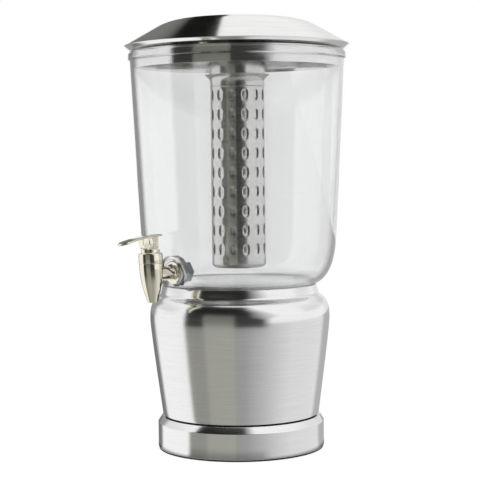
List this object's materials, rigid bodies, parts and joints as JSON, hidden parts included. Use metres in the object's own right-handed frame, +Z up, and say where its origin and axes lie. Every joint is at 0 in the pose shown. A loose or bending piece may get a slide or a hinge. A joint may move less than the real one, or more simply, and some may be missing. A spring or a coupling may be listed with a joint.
{
  "type": "beverage dispenser",
  "caption": "Free-standing drink dispenser: clear tapered vessel with a lever tap on a waisted steel stand, domed steel lid and a louvred infuser tube hanging inside.",
  "frame": {"origin": "centre of the underside of the base pad, on the axis of the stand", "axes": "+Z up along the axis of the stand, -Y towards the tap, +X across"},
  "size_m": [0.2584, 0.3069, 0.4894],
  "materials": {
    "pad_rubber": "matte black rubber",
    "inner_steel": "plain mill finish",
    "stand_steel": "brushed round the axis",
    "clear_acrylic": "clear polished acrylic",
    "clear_silicone": "translucent silicone",
    "nut_plastic": "moulded dark blue grey",
    "tap_nickel": "polished warm nickel plate",
    "white_silicone": "moulded silicone",
    "lid_steel": "satin brushed round the axis",
    "infuser_steel": "satin, with pressed louvres"
  },
  "bodies": {
    "stand": {"base_pad": "pad_rubber", "base_plate": "inner_steel", "base_ring": "stand_steel", "stand_body": "stand_steel", "seat_ring": "inner_steel", "seat_pad": "clear_silicone"},
    "container": {"vessel": "clear_acrylic", "outer_washer": "clear_silicone", "inner_washer": "clear_silicone", "shank_nut": "nut_plastic", "tap_body": "tap_nickel", "tap_bonnet": "tap_nickel", "stem_seal": "pad_rubber"},
    "stem": {"valve_stem": "inner_steel", "valve_plug": "white_silicone", "return_spring": "inner_steel"},
    "lever": {"tap_lever": "tap_nickel", "lever_pin": "tap_nickel"},
    "lid": {"lid_dome": "lid_steel", "lid_plate": "lid_steel", "lid_skirt": "lid_steel", "infuser_collar": "infuser_steel"},
    "infuser": {"infuser_mouth": "infuser_steel", "infuser_tube": "infuser_steel"}
  },
  "joints": [
    {"name": "vessel_lift", "type": "slide", "parent": "stand", "child": "container", "axis": [0, 0, 1], "range_m": [0, 0.06]},
    {"name": "stem_lift", "type": "slide", "parent": "container", "child": "stem", "axis": [-0.0523, 0, 0.9986], "range_m": [0, 0.0027], "stiffness_N_per_m": 500, "springref_m": -0.003, "deforming": ["return_spring"]},
    {"name": "lever_press", "type": "hinge", "parent": "stem", "child": "lever", "pos_m": [-0.0018, -0.1347, 0.24145], "axis": [0.9986, 0, 0.0523], "range_deg": [0, 28]},
    {"name": "lid_lift", "type": "slide", "parent": "container", "child": "lid", "axis": [0, 0, 1], "range_m": [0, 0.26]},
    {"name": "infuser_twist", "type": "hinge", "parent": "lid", "child": "infuser", "pos_m": [0, 0, 0.42], "axis": [0, 0, 1], "range_deg": [0, 60]}
  ],
  "couplings": [
    {"joint": "lever_press", "follows": "stem_lift", "rad_per_m": 180.9}
  ]
}
